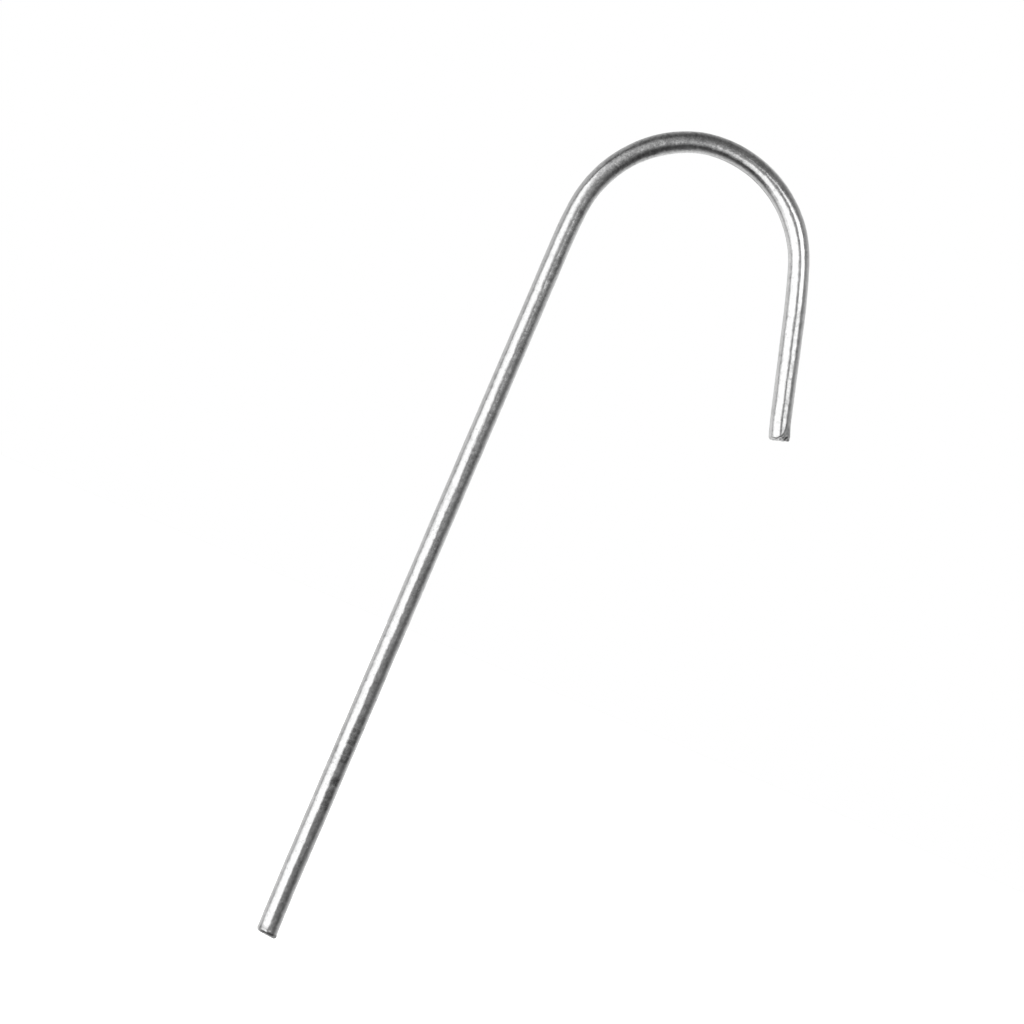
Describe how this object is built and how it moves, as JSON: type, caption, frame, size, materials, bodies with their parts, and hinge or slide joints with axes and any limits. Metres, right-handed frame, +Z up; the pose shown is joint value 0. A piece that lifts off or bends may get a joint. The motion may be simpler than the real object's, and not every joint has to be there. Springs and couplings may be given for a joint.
{
  "type": "tent stake",
  "caption": "Hooked wire tent stake: a straight round shank with a blunt cut tip, bent over at the top into an open crook that holds a guy line or a tent loop down.",
  "frame": {"origin": "middle of the cut tip, the end that is pushed into the ground", "axes": "+Z up along the straight shank, as the stake stands in the ground; +X from the shank towards the crook's tail; the whole wire lies in the XZ plane"},
  "size_m": [0.0588, 0.0042, 0.1805],
  "materials": {
    "zinc_plated_steel": "bright zinc plating over drawn steel wire, satin, finely mottled"
  },
  "bodies": {
    "root": {"stake_wire": "zinc_plated_steel"}
  },
  "joints": []
}
